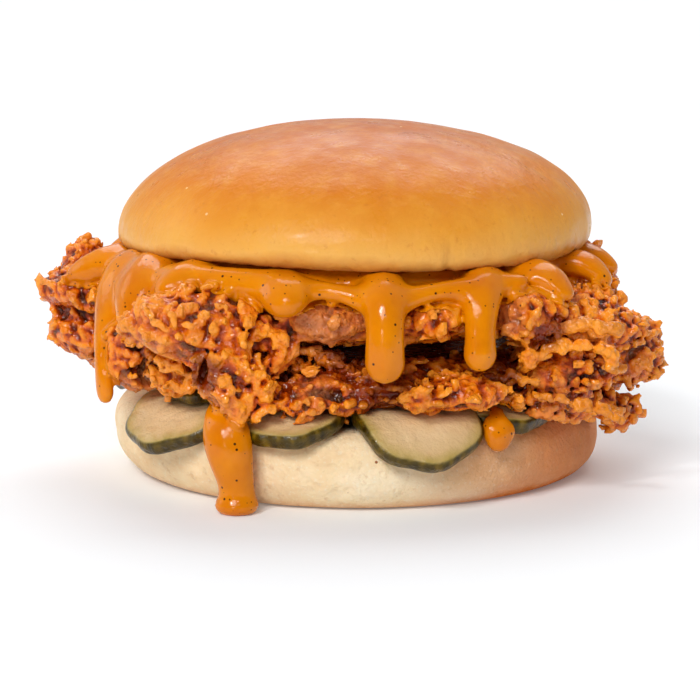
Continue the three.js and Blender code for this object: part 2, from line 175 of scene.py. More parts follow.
class Grid:
    """A box of voxels. Shapes on it are arrays of distances to their surface, below 0 inside."""

    def __init__(self, low, high, voxel):
        self.voxel = voxel
        self.first = np.floor(np.asarray(low) / voxel).astype(int)
        self.shape = tuple(np.ceil(np.asarray(high) / voxel).astype(int) - self.first + 1)
        self.corner = tuple(int(i) for i in self.first)

    def distances(self, points, triangles, band=BAND):
        """The distances to a closed surface, known up to the band's width."""
        level = openvdb.FloatGrid.createLevelSetFromPolygons(
            np.ascontiguousarray(points, np.float32),
            triangles=np.ascontiguousarray(triangles, np.uint32),
            transform=openvdb.createLinearTransform(self.voxel),
            halfWidth=band / self.voxel,
        )
        values = np.empty(self.shape, np.float32)
        level.copyToArray(values, ijk=self.corner)
        return values

    def places(self, chosen):
        """The places of the voxels that a mask chooses."""
        return ((np.argwhere(chosen) + self.first) * self.voxel).astype(np.float32)

    def sampled(self, values, points):
        """The values at any points, from the eight voxels round each."""
        place = points / self.voxel - self.first
        cell = np.clip(np.floor(place).astype(int), 0, np.array(self.shape) - 2)
        part = np.clip(place - cell, 0, 1)
        total = np.zeros(len(points))
        for corner in itertools.product((0, 1), repeat=3):
            near = np.where(corner, part, 1 - part).prod(axis=1)
            x, y, z = (cell + corner).T
            total += near * values[x, y, z]
        return total

    def slopes(self, values, points):
        """The direction away from the shape at each point."""
        step = np.eye(3) * self.voxel
        rises = [self.sampled(values, points + s) - self.sampled(values, points - s) for s in step]
        return unit(np.stack(rises, axis=1))

    def surface(self, values, most):
        """The surface as points and groups of faces, thinned out to at most so many triangles."""
        level = openvdb.FloatGrid(BAND)
        level.transform = openvdb.createLinearTransform(self.voxel)
        level.copyFromArray(np.ascontiguousarray(values, np.float32), ijk=self.corner)
        points, triangles, quads = level.convertToPolygons(0, 0)
        return thinned(points, [faces[:, ::-1] for faces in (triangles, quads) if len(faces)], most)

    def add_knobs(self, values, centres, turns, radii, melt):
        """Melts ellipsoids into a shape. The rows of a turn are the directions of its three radii."""
        for centre, turn, size in zip(centres, turns, radii):
            reach = size.max() + 2 * melt
            low = np.maximum(np.ceil((centre - reach) / self.voxel).astype(int) - self.first, 0)
            high = np.floor((centre + reach) / self.voxel).astype(int) - self.first + 1
            high = np.minimum(high, self.shape)
            if (high <= low).any():
                continue
            window = tuple(slice(a, b) for a, b in zip(low, high))
            steps = [np.arange(a, b) for a, b in zip(low, high)]
            x, y, z = (
                ((step + first) * self.voxel - middle).astype(np.float32)
                for step, first, middle in zip(steps, self.first, centre)
            )
            x, y, z = x[:, None, None], y[None, :, None], z[None, None, :]
            across = [(x * row[0] + y * row[1] + z * row[2]) / length for row, length in zip(turn, size)]
            share = np.sqrt(sum(a * a for a in across))
            steep = np.sqrt(sum((a / length) ** 2 for a, length in zip(across, size)))
            ball = share * (share - 1) / np.maximum(steep, 1e-6)
            values[window] = melted(values[window], ball, melt)


# Meshes.


def triangles_of(node):
    """The points and triangles of a CAD node."""
    mesh = node.data
    mesh.calc_loop_triangles()
    points = np.empty(len(mesh.vertices) * 3, np.float32)
    mesh.vertices.foreach_get("co", points)
    triangles = np.empty(len(mesh.loop_triangles) * 3, np.int32)
    mesh.loop_triangles.foreach_get("vertices", triangles)
    return points.reshape(-1, 3), triangles.reshape(-1, 3)


def together(*shapes):
    """Several surfaces, each as points and triangles, as one."""
    starts = np.cumsum([0] + [len(points) for points, _ in shapes[:-1]])
    triangles = [faces + start for (_, faces), start in zip(shapes, starts)]
    return np.concatenate([points for points, _ in shapes]), np.concatenate(triangles)


def split(face_groups):
    """Triangles that cover the faces."""
    parts = []
    for faces in face_groups:
        parts += [faces[:, [0, i, i + 1]] for i in range(1, faces.shape[1] - 1)]
    return np.concatenate(parts)


def normals_of(points, face_groups):
    """The direction out of the surface at each point."""
    triangles = split(face_groups)
    a, b, c = (points[triangles[:, i]] for i in range(3))
    facing = np.cross(b - a, c - a)
    total = np.zeros_like(points)
    for i in range(3):
        np.add.at(total, triangles[:, i], facing)
    return unit(total)


def turned(profile, sides):
    """A profile of (radius, height) pairs from the axis round to the axis, turned about the Z axis."""
    profile = np.array(profile)
    angles = np.arange(sides) / sides * math.tau
    radius, height = profile[1:-1].T
    parts = [(radius, np.cos(angles)), (radius, np.sin(angles)), (height, np.ones(sides))]
    rings = np.stack([np.outer(along, around) for along, around in parts], axis=-1)
    points = np.concatenate([rings.reshape(-1, 3), [[0, 0, profile[0, 1]], [0, 0, profile[-1, 1]]]])
    at = np.arange(len(radius))[:, None] * sides + np.arange(sides)
    beside = np.roll(at, -1, axis=1)
    quads = np.stack([at[:-1], beside[:-1], beside[1:], at[1:]], axis=-1).reshape(-1, 4)
    start = np.stack([beside[0], at[0], np.full(sides, at.size)], axis=-1)
    end = np.stack([at[-1], beside[-1], np.full(sides, at.size + 1)], axis=-1)
    return points, [np.concatenate([start, end]), quads]


def quarter(middle_radius, middle_height, width, height, steps):
    """Points on a quarter of an ellipse, from its side at the first to its top at the last."""
    angles = np.linspace(0, math.pi / 2, steps + 1)
    return np.stack([middle_radius + width * np.cos(angles), middle_height + height * np.sin(angles)], axis=1)


def mesh_of(name, points, face_groups):
    """A smooth-shaded mesh of faces that may have three or four corners."""
    mesh = bpy.data.meshes.new(name)
    mesh.vertices.add(len(points))
    mesh.vertices.foreach_set("co", np.asarray(points, np.float32).ravel())
    corners = np.concatenate([faces.ravel() for faces in face_groups]).astype(np.int32)
    counts = np.concatenate([np.full(len(faces), faces.shape[1]) for faces in face_groups])
    mesh.loops.add(len(corners))
    mesh.loops.foreach_set("vertex_index", corners)
    mesh.polygons.add(len(counts))
    mesh.polygons.foreach_set("loop_start", np.concatenate([[0], np.cumsum(counts)[:-1]]).astype(np.int32))
    mesh.polygons.foreach_set("use_smooth", np.ones(len(counts), bool))
    mesh.update(calc_edges=True)
    mesh.validate()
    return mesh


def thinned(points, face_groups, most):
    """The surface with its least needed points taken out, where it has more triangles than it may."""
    count = len(split(face_groups))
    if count <= most:
        return points, face_groups
    mesh = mesh_of("thinned", points, face_groups)
    piece = bpy.data.objects.new("thinned", mesh)
    bpy.context.scene.collection.objects.link(piece)
    piece.modifiers.new("thin", "DECIMATE").ratio = most / count
    thin = piece.evaluated_get(bpy.context.evaluated_depsgraph_get())
    result = triangles_of(thin)
    bpy.data.objects.remove(piece)
    bpy.data.meshes.remove(mesh)
    return result[0], [result[1]]


def dress(name, points, face_groups, material, node, attributes=None):
    """A smooth mesh piece that stands for the CAD node."""
    mesh = mesh_of(name, points, face_groups)
    for key, values in (attributes or {}).items():
        mesh.attributes.new(key, "FLOAT", "POINT").data.foreach_set("value", np.asarray(values, np.float32))
    mesh.materials.append(material)
    piece = bpy.data.objects.new(name, mesh)
    bpy.context.scene.collection.objects.link(piece)
    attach(piece, "root")
    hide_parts(node)


# Materials.


def colour(red, green, blue):
    """A screen colour, from 0 to 255, as the shader's light values."""
    shares = (value / 255 for value in (red, green, blue))
    return tuple(((s + 0.055) / 1.055) ** 2.4 if s > 0.04 else s / 12.92 for s in shares) + (1,)


class Paint:
    """A material's nodes. A value is a number, a colour or the output of another node."""

    def __init__(self, name, **finish):
        self.material = bpy.data.materials.new(name)
        self.material.use_nodes = True
        self.tree = self.material.node_tree
        self.shader = self.tree.nodes["Principled BSDF"]
        self.place = self.node("ShaderNodeTexCoord").node.outputs["Object"]
        self.finish(**finish)

    def feed(self, socket, value):
        """Links a socket to another node's output, or sets it to a plain value."""
        if isinstance(value, bpy.types.NodeSocket):
            self.tree.links.new(value, socket)
        else:
            socket.default_value = value

    def node(self, kind, inputs=None, output=0, **settings):
        """Adds a node with these inputs and settings, and gives one of its outputs."""
        made = self.tree.nodes.new(kind)
        for key, value in settings.items():
            setattr(made, key, value)
        for key, value in (inputs or {}).items():
            self.feed(made.inputs[key], value)
        return made.outputs[output]

    def attribute(self, name):
        """The value that the mesh holds under this name."""
        return self.node("ShaderNodeAttribute", output="Fac", attribute_name=name)

    def noise(self, size, detail=3.0, stretch=(1, 1, 1), roughness=0.55):
        """Noise from 0 to 1, whose bumps are about the size across."""
        place = self.node("ShaderNodeVectorMath", {0: self.place, 1: stretch}, operation="MULTIPLY")
        inputs = {"Vector": place, "Scale": 1 / size, "Detail": detail, "Roughness": roughness}
        return self.node("ShaderNodeTexNoise", inputs)

    def math(self, operation, a, b=0.0):
        """One operation on two values."""
        return self.node("ShaderNodeMath", {0: a, 1: b}, operation=operation)

    def stretched(self, value, low, high, start=0.0, end=1.0):
        """The value mapped from low and high to start and end, and held there."""
        inputs = {"Value": value, "From Min": low, "From Max": high, "To Min": start, "To Max": end}
        return self.node("ShaderNodeMapRange", inputs, interpolation_type="SMOOTHSTEP")

    def ramp(self, value, *stops):
        """The value as a colour, from stops of (value, colour)."""
        socket = self.node("ShaderNodeValToRGB", {0: value})
        elements = socket.node.color_ramp.elements
        for _ in stops[2:]:
            elements.new(0.5)
        for element, (place, shade) in zip(elements, stops):
            element.position = place
            element.color = shade
        return socket

    def mixed(self, share, a, b):
        """The first colour, with a share of the second mixed in."""
        return self.node("ShaderNodeMix", {0: share, 6: a, 7: b}, output=2, data_type="RGBA")

    def grains(self, size):
        """Round grains the size across: 1 at the middle of each, down to 0 between them."""
        inputs = {"Vector": self.place, "Scale": 1 / size}
        return self.stretched(self.node("ShaderNodeTexVoronoi", inputs, feature="SMOOTH_F1"), 0.65, 0.1)

    def specks(self, size, width, kept):
        """1 on round specks spread the size apart, of which a share is kept, and 0 elsewhere."""
        cells = self.node("ShaderNodeTexVoronoi", {"Vector": self.place, "Scale": 1 / size}).node
        chance = self.node("ShaderNodeSeparateColor", {0: cells.outputs["Color"]})
        near = self.stretched(cells.outputs["Distance"], width / size, width / size * 0.6)
        return self.math("MULTIPLY", near, self.stretched(chance, 1 - kept, 1 - kept + 0.02))

    def bump(self, height, distance, strength=1.0, under=None):
        """A normal that follows the height, laid over another such normal where one is given."""
        inputs = {"Height": height, "Distance": distance, "Strength": strength}
        if under is not None:
            inputs["Normal"] = under
        return self.node("ShaderNodeBump", inputs)

    def let_in(self, weight, *depths):
        """Lets a share of the light in, as deep as these lengths for red, green and blue."""
        self.finish(Subsurface_Weight=weight, Subsurface_Radius=depths, Subsurface_Scale=1.0)

    def finish(self, **sockets):
        """Sets the shader's sockets, each by its name with _ for the spaces."""
        for key, value in sockets.items():
            name = key.replace("_", " ").title().replace("Ior", "IOR")
            self.feed(self.shader.inputs[name], value)
        return self.material


def glazed_crust():
    """Egg-glazed bread: brown on top, golden at the sides and paler low down."""
    paint = Paint("glazed_crust", specular_ior_level=0.12, coat_weight=0.09, coat_roughness=0.14)
    paint.let_in(0.08, 0.004, 0.002, 0.001)
    height = paint.attribute("height")
    patches = paint.noise(0.022, 3, roughness=0.5)
    browned = paint.math("ADD", height, paint.math("MULTIPLY", paint.math("SUBTRACT", patches, 0.5), 0.35))
    base = paint.ramp(
        browned,
        (0.0, colour(206, 136, 56)),
        (0.12, colour(234, 174, 86)),
        (0.36, colour(228, 150, 50)),
        (0.6, colour(216, 124, 22)),
        (1.0, colour(192, 98, 18)),
    )
    mottle = paint.noise(0.0045, 4, roughness=0.65)
    base = paint.mixed(paint.stretched(mottle, 0.4, 0.75, 0, 0.3), base, colour(240, 172, 66))
    freckles = paint.noise(0.0016, 3)
    base = paint.mixed(paint.stretched(freckles, 0.6, 0.75, 0, 0.25), base, colour(190, 100, 36))
    # Painted shade at the crown's lower edge, most at the left, and in its crease.
    base = paint.mixed(paint.attribute("browned"), base, colour(128, 66, 24))
    base = paint.mixed(paint.specks(0.006, 0.0004, 0.3), base, colour(250, 214, 160))
    skin = paint.bump(paint.noise(0.0012, 3, roughness=0.6), 0.0004, 0.5)
    skin = paint.bump(paint.noise(0.007, 3, (1, 1, 0.6)), 0.0014, 0.4, skin)
    roughness = paint.stretched(paint.noise(0.008, 4), 0.3, 0.7, 0.25, 0.5)
    return paint.finish(Base_Color=base, Roughness=roughness, Normal=skin)


def pale_crumb():
    """The heel's pale crust, dusted with flour and browner to the right."""
    paint = Paint("pale_crumb", roughness=0.75, specular_ior_level=0.3)
    paint.let_in(0.12, 0.004, 0.0025, 0.0015)
    patches = paint.noise(0.018, 4, (1, 1, 1.8))
    base = paint.ramp(
        patches,
        (0.25, colour(234, 194, 142)),
        (0.5, colour(248, 220, 176)),
        (0.75, colour(254, 236, 204)),
    )
    base = paint.mixed(paint.attribute("browned"), base, colour(214, 120, 44))
    freckles = paint.noise(0.0022, 4)
    base = paint.mixed(paint.stretched(freckles, 0.58, 0.72, 0, 0.35), base, colour(206, 156, 102))
    dust = paint.noise(0.0007, 3)
    clean = paint.math("SUBTRACT", 1.0, paint.attribute("browned"))
    dusty = paint.math("MULTIPLY", paint.stretched(dust, 0.55, 0.7, 0, 0.4), clean)
    base = paint.mixed(dusty, base, colour(250, 240, 220))
    base = paint.mixed(paint.specks(0.007, 0.0004, 0.35), base, colour(150, 88, 44))
    skin = paint.bump(paint.noise(0.0009, 4), 0.0005, 0.7)
    skin = paint.bump(paint.noise(0.005, 3), 0.002, 0.5, skin)
    return paint.finish(Base_Color=base, Normal=skin)


def pickle_flesh():
    """Wet pickled cucumber: pale cloudy flesh, and a dark olive skin with ribs."""
    paint = Paint("pickle_flesh", roughness=0.3, specular_ior_level=0.3)
    paint.finish(Coat_Weight=0.15, Coat_Roughness=0.05)
    paint.let_in(0.15, 0.001, 0.0008, 0.0004)
    ring = paint.attribute("ring")
    cloud = paint.noise(0.004, 4)
    flesh = paint.ramp(
        paint.math("ADD", ring, paint.math("MULTIPLY", paint.math("SUBTRACT", cloud, 0.5), 0.3)),
        (0.0, colour(206, 172, 120)),
        (0.45, colour(226, 196, 150)),
        (0.75, colour(214, 182, 132)),
        (0.93, colour(184, 158, 88)),
        (1.0, colour(130, 114, 36)),
    )
    stripes = paint.math("SINE", paint.math("MULTIPLY", paint.attribute("around"), 26.0))
    blotches = paint.math("ADD", paint.noise(0.0025, 4), paint.math("MULTIPLY", stripes, 0.08))
    skin = paint.ramp(
        blotches,
        (0.3, colour(44, 34, 0)),
        (0.55, colour(84, 66, 2)),
        (0.8, colour(132, 104, 14)),
    )
    base = paint.mixed(paint.attribute("skin"), flesh, skin)
    relief = paint.bump(paint.noise(0.004, 4, roughness=0.6), 0.0018, 0.5)
    ribs = paint.math("MULTIPLY", blotches, paint.attribute("skin"))
    relief = paint.bump(ribs, 0.0012, 0.5, relief)
    return paint.finish(Base_Color=base, Normal=relief)


def fried_crust():
    """Fried crust: golden crests and deep red-brown hollows, partly painted light and shade; floury and oily
    patches; pepper specks.
    """
    paint = Paint("fried_crust", specular_ior_level=0.45)
    paint.let_in(0.03, 0.002, 0.0008, 0.0004)
    patches = paint.math("MULTIPLY", paint.math("SUBTRACT", paint.noise(0.005, 4, roughness=0.6), 0.5), 0.6)
    # Painted light and shade: open, crest and bulge make what stands out lighter and the hollows and creases
    # darker.
    shade = paint.attribute("open")
    for name, least, most in (("crest", -0.14, 0.12), ("bulge", -0.13, 0.1), ("golden", -0.06, 0.12)):
        shade = paint.math("ADD", shade, paint.stretched(paint.attribute(name), 0, 1, least, most))
    shade = paint.math("ADD", shade, patches)
    base = paint.ramp(
        shade,
        (0.12, colour(56, 12, 0)),
        (0.28, colour(130, 38, 0)),
        (0.44, colour(190, 74, 0)),
        (0.6, colour(230, 112, 0)),
        (0.86, colour(253, 154, 36)),
    )
    # Dark red on the marks: oil-soaked crust, and painted shade in the hollows where the marks sit.
    base = paint.mixed(paint.attribute("red"), base, colour(122, 34, 0))
    base = paint.mixed(paint.attribute("floury"), base, colour(208, 124, 66))
    base = paint.mixed(paint.attribute("sauced"), base, colour(226, 120, 4))
    grain = paint.noise(0.0016, 4, roughness=0.7)
    base = paint.mixed(paint.stretched(grain, 0.5, 0.75, 0, 0.35), base, colour(168, 62, 0))
    base = paint.mixed(paint.stretched(grain, 0.48, 0.3, 0, 0.25), base, colour(255, 160, 60))
    base = paint.mixed(paint.specks(0.0036, 0.0003, 0.2), base, colour(80, 30, 12))
    relief = paint.bump(paint.noise(0.0022, 2, roughness=0.5), 0.0018, 0.7)
    relief = paint.bump(paint.grains(0.0013), 0.0004, 0.7, relief)
    relief = paint.bump(paint.noise(0.0008, 2), 0.0003, 0.5, relief)
    oily = paint.math("ADD", paint.attribute("red"), paint.stretched(paint.noise(0.007, 4), 0.38, 0.5))
    oily = paint.math("MULTIPLY", oily, paint.attribute("open"))
    roughness = paint.stretched(oily, 0.05, 0.35, 0.6, 0.12)
    return paint.finish(Base_Color=base, Roughness=roughness, Normal=relief)


def thick_sauce():
    """Glossy orange sauce with ground pepper in it."""
    paint = Paint("thick_sauce", roughness=0.14, specular_ior_level=0.25)
    paint.finish(Coat_Weight=0.06, Coat_Roughness=0.04)
    paint.let_in(0.12, 0.003, 0.001, 0.0002)
    swirl = paint.noise(0.009, 3)
    base = paint.ramp(swirl, (0.3, colour(212, 116, 0)), (0.7, colour(230, 138, 0)))
    base = paint.mixed(paint.specks(0.003, 0.00036, 0.6), base, colour(64, 30, 6))
    base = paint.mixed(paint.specks(0.0015, 0.00024, 0.6), base, colour(104, 48, 2))
    relief = paint.bump(paint.noise(0.005, 3), 0.001, 0.25)
    return paint.finish(Base_Color=base, Normal=relief)


def white_table():
    """A plain white table top, hardly uneven."""
    paint = Paint("white_table", roughness=0.9, specular_ior_level=0.0)
    shade = paint.ramp(paint.noise(0.4, 2), (0.3, (0.83, 0.85, 0.87, 1)), (0.7, (0.85, 0.87, 0.89, 1)))
    return paint.finish(Base_Color=shade, Emission_Color=(1, 1, 1, 1), Emission_Strength=0.1)


# The bun.


def crown():
    """The upper half of the bun: a low dome over a rounded lip, and a flat cut face."""
    lip_width = CROWN_RADIUS - CROWN_CUT_RADIUS
    lip = quarter(CROWN_CUT_RADIUS, CROWN_WIDEST, lip_width, CROWN_BASE - CROWN_WIDEST, 14)
    dome = quarter(0, CROWN_WIDEST, CROWN_RADIUS, CROWN_TOP - CROWN_WIDEST, 110)
    middle = np.linspace(0, CROWN_CUT_RADIUS, 40)[:-1, None] * [1, 0] + [0, CROWN_BASE]
    dome[-1, 0] = 0
    points, faces = turned([*middle, *lip[::-1], *dome[1:]], BUN_SIDES)
    # The dome is a little uneven, fuller and leaning at the right, and its rim lifts at the front left.
    angle = np.arctan2(points[:, 1], points[:, 0])
    height = (points[:, 2] - CROWN_BASE) / (CROWN_TOP - CROWN_BASE)
    wave = 0.006 * np.sin(3 * angle - 0.5) + 0.004 * np.sin(5 * angle)
    fuller = 0.04 * height * np.maximum(0, np.cos(angle))
    lift = RIM_LIFT * np.exp(-(((angle + 2.1) / 0.5) ** 2)) * np.maximum(0, 1 - 3 * height)
    points[:, 0] = points[:, 0] * (1 + wave + fuller) + CROWN_LEAN * height * (1 - height)
    points[:, 1] *= 1 + wave
    reach = np.hypot(points[:, 0], points[:, 1])
    points[:, 2] += lift * reach / CROWN_RADIUS
    # The baked skin: broad dents, short wrinkles that run up from the lower edge, and one deep crease.
    low = smoothstep(0.28, 0.02, height) * smoothstep(0.8, 0.97, reach / CROWN_RADIUS)
    wrinkles = noise(points, (1.3 * MM, 1.3 * MM, 9 * MM), 11)
    relief = DENT * noise(points, 21 * MM, 12) + SMALL_DENT * noise(points, 6 * MM, 13)
    relief += low * WRINKLE * wrinkles
    crease_line = (points[:, 0] - CREASE_PLACE) / CREASE_WIDTH - 1.2 * noise(points, 4 * MM, 14)
    crease_reach = smoothstep(0.34, 0.1, height) * smoothstep(0.8, 0.95, reach / CROWN_RADIUS)
    crease_reach = crease_reach * (points[:, 1] < 0)
    crease = crease_reach * np.exp(-(crease_line**2))
    relief -= crease * CREASE_DEPTH
    relief += crease_reach * CREASE_LIP * np.exp(-(((crease_line - 3) / 3) ** 2))
    points = points + relief[:, None] * normals_of(points, faces)
    # Painted shade: the lower edge is darker, most at the left, and so is the crease.
    edge = smoothstep(0.07, 0.0, height) * (0.35 + 0.65 * smoothstep(0.2, -0.6, np.cos(angle)))
    browned = np.clip(edge * (0.7 + 0.5 * wrinkles) + 0.35 * crease, 0, 1)
    marks = {"height": height, "browned": browned * 0.6}
    dress("crown", points, faces, glazed_crust(), "bun_crown", marks)


def heel():
    """The lower half of the bun: a flat base, a round foot, an upright wall and a round shoulder."""
    foot_width = HEEL_RADIUS - HEEL_BASE_RADIUS
    foot = quarter(HEEL_BASE_RADIUS, HEEL_FOOT_HEIGHT, foot_width, -HEEL_FOOT_HEIGHT, 26)[::-1]
    wall = quarter(HEEL_RADIUS - SHOULDER, HEEL_HEIGHT - SHOULDER, SHOULDER, SHOULDER, 24)
    upright = np.linspace(foot[-1], wall[0], 10)[1:-1]
    base = np.linspace((0, 0), foot[0], 12)[:-1]
    top = np.linspace(wall[-1], (0, HEEL_HEIGHT), 16)[1:]
    points, faces = turned([*base, *foot, *upright, *wall, *top], BUN_SIDES)
    height = points[:, 2] / HEEL_HEIGHT
    points[:, 0] += HEEL_LEAN * (1 - height)
    side = smoothstep(0.0, 0.12, height) * smoothstep(1.0, 0.85, height)
    dents = np.abs(noise(points, (7 * MM, 7 * MM, 30 * MM), 21))
    relief = side * (0.3 * MM * noise(points, 15 * MM, 22) - 0.35 * MM * smoothstep(0.12, 0.0, dents))
    relief += side * 0.1 * MM * noise(points, 2.5 * MM, 23)
    points = points + relief[:, None] * normals_of(points, faces)
    right = smoothstep(8 * MM, 46 * MM, points[:, 0] + 6 * MM * noise(points, 9 * MM, 24))
    under = smoothstep(0.16, 0.02, height)
    browned = np.clip(0.85 * right + 0.4 * under, 0, 1)
    dress("heel", points, faces, pale_crumb(), "bun_heel", {"browned": browned})


# The pickles.

# The nearest slice comes first, because each is tucked under those before it.
PICKLES = [
    {"name": "front_right", "radius": 13.8 * MM, "reach": 49.5 * MM, "angle": -74, "bend": 0.85},
    {"name": "front_left", "radius": 14 * MM, "reach": 49.6 * MM, "angle": -136, "bend": 0.7},
    {"name": "front_middle", "radius": 12 * MM, "reach": 47.5 * MM, "angle": -106, "bend": 0.5},
    {"name": "right", "radius": 13.5 * MM, "reach": 45 * MM, "angle": -49, "bend": 0.4},
    {"name": "upper_left", "radius": 12 * MM, "reach": 41 * MM, "angle": -134, "bend": 0.7, "layer": 1},
    {"name": "back_left", "radius": 13 * MM, "reach": 46 * MM, "angle": 160, "bend": 0.8},
    {"name": "back", "radius": 13.5 * MM, "reach": 46.5 * MM, "angle": 104, "bend": 0.6},
    {"name": "back_right", "radius": 12.5 * MM, "reach": 46 * MM, "angle": 48, "bend": 0.9},
]


def draped(points, most_bend):
    """Lays a slice over the heel's round shoulder, down to an angle."""
    out = np.hypot(points[:, 0], points[:, 1])
    past = np.maximum(out - (HEEL_RADIUS - SHOULDER), 0)
    bend = np.minimum(past / SHOULDER, most_bend)
    straight = past - bend * SHOULDER
    lift = points[:, 2] - HEEL_HEIGHT + SHOULDER
    reach = HEEL_RADIUS - SHOULDER + lift * np.sin(bend) + straight * np.cos(bend)
    height = HEEL_HEIGHT - SHOULDER + lift * np.cos(bend) - straight * np.sin(bend)
    share = np.where(past > 0, reach / np.maximum(out, 1e-9), 1)
    height = np.where(past > 0, height, points[:, 2])
    return np.stack([points[:, 0] * share, points[:, 1] * share, height], axis=1)


def smoothed_out(points, most_bend):
    """Where the points of a draped slice were before it was laid over the shoulder."""
    out = np.hypot(points[:, 0], points[:, 1])
    beyond = out - (HEEL_RADIUS - SHOULDER)
    above = points[:, 2] - (HEEL_HEIGHT - SHOULDER)
    bend = np.clip(np.arctan2(beyond, above), 0, most_bend)
    straight = np.maximum(beyond * np.cos(bend) - above * np.sin(bend), 0)
    flat = HEEL_RADIUS - SHOULDER + bend * SHOULDER + straight
    lift = beyond * np.sin(bend) + above * np.cos(bend)
    share = np.where(beyond > 0, flat / out, 1)
    height = np.where(beyond > 0, HEEL_HEIGHT - SHOULDER + lift, points[:, 2])
    return np.stack([points[:, 0] * share, points[:, 1] * share, height], axis=1)


def rotated(points, angle):
    """The points turned about the Z axis, by an angle in degrees."""
    cosine, sine = math.cos(math.radians(angle)), math.sin(math.radians(angle))
    x, y, z = points.T
    return np.stack([x * cosine - y * sine, x * sine + y * cosine, z], axis=1)


def underside(layer):
    """How high the underside of a slice lies, on the heel or on the slices under it."""
    return HEEL_HEIGHT + PICKLE_CLEARANCE + layer * (PICKLE_THICKNESS + GAP)


def pickle_rib(around, reach, share):
    """How far the skin stands out at an angle: shallow ribs, and small uneven notches at the rim."""
    notches = np.abs(np.sin(6.5 * around + 300 * reach)) ** 0.5 * np.cos(2 * around + 900 * reach)
    return 1 + 0.025 * np.cos(7 * around + reach / MM) + share**4 * 0.02 * notches


def pickle_slice(radius, reach, angle, bend, seed, layer=0):
    """The points and faces of a slice on its place."""
    under = underside(layer)
    over = under + PICKLE_THICKNESS
    edge = PICKLE_THICKNESS * 0.32
    flat = np.linspace(0, radius - edge, 24)[:-1]
    lower = [(out, under) for out in flat]
    upper = [(out, over) for out in flat[::-1]]
    round_low = quarter(radius - edge, under + edge, edge, -edge, 8)[::-1]
    round_high = quarter(radius - edge, over - edge, edge, edge, 8)
    points, faces = turned([*lower, *round_low, *round_high, *upper], 144)
    around = np.arctan2(points[:, 1], points[:, 0])
    points[:, :2] *= pickle_rib(around, reach, np.hypot(points[:, 0], points[:, 1]) / radius)[:, None]
    sway = noise(points + seed * 7 * MM, (6 * MM, 6 * MM, 1), 31) * smoothstep(under, over, points[:, 2])
    points[:, 2] += 0.35 * MM * sway
    return draped(rotated(points + [reach, 0, 0], angle), bend), faces


def near_each_other(points, others):
    """Whether the boxes round two sets of points meet."""
    apart = np.maximum(points.min(axis=0) - others.max(axis=0), others.min(axis=0) - points.max(axis=0))
    return (apart < 0).all()


def pickles():
    """The slices, each cut back from those that lie on it."""
    material = pickle_flesh()
    earlier = []
    for seed, data in enumerate(PICKLES):
        sizes = {key: value for key, value in data.items() if key != "name"}
        points, faces = pickle_slice(seed=seed, **sizes)
        triangles = split(faces)
        grid = Grid(points.min(axis=0) - MM, points.max(axis=0) + MM, PICKLE_VOXEL)
        values = grid.distances(points, triangles, MM)
        for other in earlier:
            if near_each_other(points, other[0]):
                values = np.maximum(values, GAP / 2 - grid.distances(*other, MM))
        earlier.append((points, triangles))
        places, groups = grid.surface(values, PICKLE_TRIANGLES)
        flat = rotated(smoothed_out(places, data["bend"]), -data["angle"]) - [data["reach"], 0, 0]
        around = np.arctan2(flat[:, 1], flat[:, 0])
        share = np.hypot(flat[:, 0], flat[:, 1]) / data["radius"]
        share = share / pickle_rib(around, data["reach"], share)
        depth = underside(data.get("layer", 0)) + PICKLE_THICKNESS - flat[:, 2]
        wall = smoothstep(0.2 * MM, 0.6 * MM, depth)
        skin = np.maximum(smoothstep(0.86, 0.92, share) * wall, smoothstep(0.92, 0.96, share))
        marks = {"ring": share, "skin": skin, "around": around}
        name = data["name"]
        dress("slice_" + name, places, groups, material, "pickle_" + name, marks)


# The fried chicken.

# The relief of the crust: ridges along folds and rims, as points (x, height) on the side that faces
# the viewer and a thickness, in millimetres.
RIDGES = [
    # The right rim of the large leaf, its upper lip, its middle fold, its left edge and the shelf under it.
    ([(-28, 47.5), (-23.3, 44.5), (-20.5, 39), (-19.6, 32.6), (-20.5, 26), (-20.6, 21.5)], 2.1),
    ([(-48, 41), (-44.8, 44), (-40.5, 44.7), (-35.6, 45.8), (-31, 45)], 1.5),
    ([(-34.7, 43.6), (-33, 39), (-29.8, 35.5), (-28.2, 29.3), (-26, 24)], 1.7),
    ([(-41.6, 39.2), (-40.5, 34.8), (-39, 30.4), (-35.1, 28.7)], 1.2),
    ([(-42, 27.3), (-37.3, 26.3), (-31.9, 26), (-28, 27)], 1.4),
    # The knobs and strips between the leaf and the long drip.
    ([(-16.8, 38), (-13.6, 35.9), (-12.5, 30.4), (-15, 27)], 1.7),
    ([(-11.4, 34.4), (-7, 33.3), (-3, 31), (0, 29.3)], 1.3),
    # The edge of the lowest sheet, all along the front.
    ([(-18, 23), (-11.4, 23.2), (-5, 21.2), (-1.7, 20)], 1.2),
    ([(1, 21), (10, 22.6), (19, 23.2), (27.4, 23.8), (36, 24.2)], 1.2),
    ([(16.6, 29.3), (25.3, 28.2), (34, 28.6), (40.4, 27)], 1.1),
    # The flap right of the long drip, and the crest and folds at the right.
    ([(9.5, 36), (14.5, 38.1), (18.8, 41.5), (22, 43.4)], 1.4),
    ([(43, 38.5), (47.5, 40), (52, 40.3), (57, 38.8)], 1.8),
    ([(37, 31.5), (42.5, 34.8), (49, 36), (54, 34.5), (57, 31)], 1.5),
    ([(39, 24.5), (46, 23.5), (52, 22), (58, 19)], 1.3),
]

